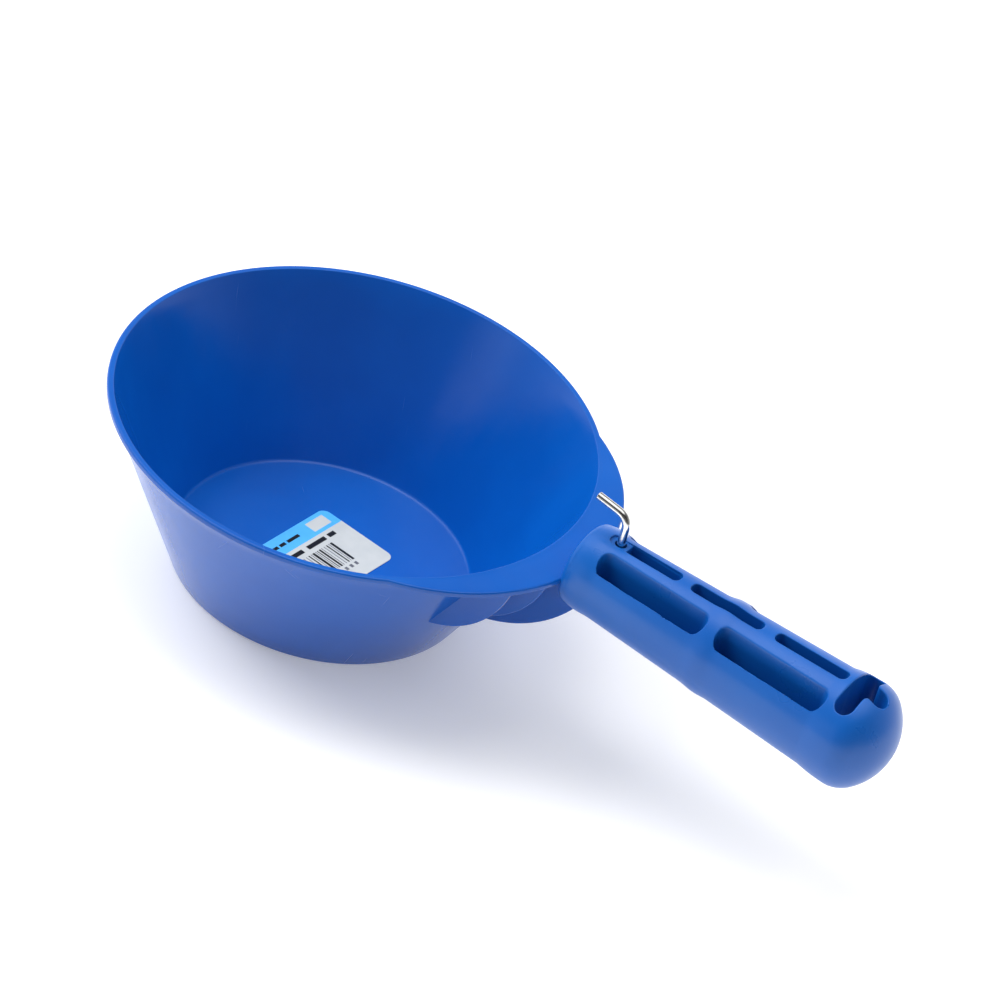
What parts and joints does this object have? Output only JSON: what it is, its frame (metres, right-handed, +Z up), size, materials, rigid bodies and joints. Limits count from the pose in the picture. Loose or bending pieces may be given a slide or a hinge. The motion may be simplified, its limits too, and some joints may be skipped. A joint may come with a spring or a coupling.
{
  "type": "plastic bucket scoop",
  "caption": "Round bucket scoop: conical bowl with a flat lip and crescent collar on gusset ribs, a slotted round grip with a T-shaped hanging hole and a swivelling wire hook.",
  "frame": {"origin": "centre of the bowl's flat base, on the plane it stands on", "axes": "+Z up the bowl's axis, +X along the grip away from the bowl, +Y to the right of someone who holds the grip and faces the bowl"},
  "size_m": [0.3023, 0.17, 0.092],
  "materials": {
    "bowl_plastic": "glossy deep blue polypropylene",
    "grip_plastic": "satin blue polypropylene",
    "hook_wire": "bright zinc-plated steel wire",
    "label_print": null
  },
  "bodies": {
    "scoop": {"bowl": "bowl_plastic", "rim_collar": "bowl_plastic", "gusset_outer_left": "bowl_plastic", "gusset_inner_left": "bowl_plastic", "gusset_keel": "bowl_plastic", "gusset_inner_right": "bowl_plastic", "gusset_outer_right": "bowl_plastic", "grip": "grip_plastic", "hook_boss": "grip_plastic", "floor_label": "label_print"},
    "hook": {"wire_hook": "hook_wire"}
  },
  "joints": [
    {"name": "hook_swivel", "type": "hinge", "parent": "scoop", "child": "hook", "pos_m": [0.1058, 0, 0.064], "axis": [0, 0, 1], "continuous": true}
  ]
}
